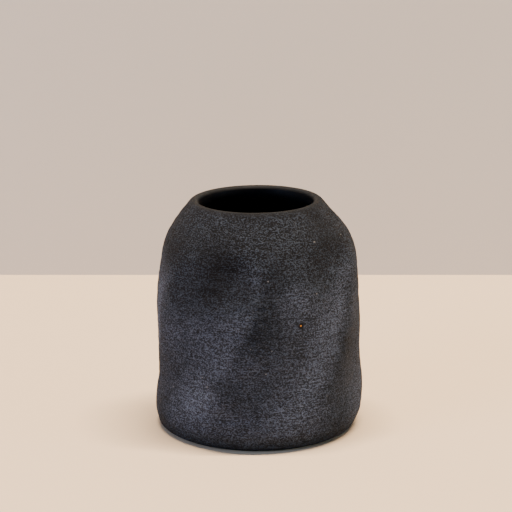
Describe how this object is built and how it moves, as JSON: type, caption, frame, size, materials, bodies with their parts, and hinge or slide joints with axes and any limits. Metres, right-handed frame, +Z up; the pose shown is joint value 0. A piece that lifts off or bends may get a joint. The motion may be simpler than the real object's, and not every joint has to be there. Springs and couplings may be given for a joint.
{
  "type": "stoneware vase",
  "caption": "Small round stoneware vase with a sandy dark slip, soft twisted flutes, a sloping shoulder, a wide mouth with a smooth rounded lip and a glossy liner.",
  "frame": {"origin": "middle of the footprint, on the surface the vase stands on", "axes": "+Z up through the mouth, -Y towards the front, +X to the right as seen from the front"},
  "size_m": [0.1074, 0.1068, 0.1184],
  "materials": {
    "fired_clay": "smooth sponged unglazed clay",
    "sand_slip": "matte sandy slip",
    "liner_glaze": "gloss"
  },
  "bodies": {
    "root": {"stoneware_body": "fired_clay", "sand_slip_coat": "sand_slip", "liner_glaze": "liner_glaze"}
  },
  "joints": []
}
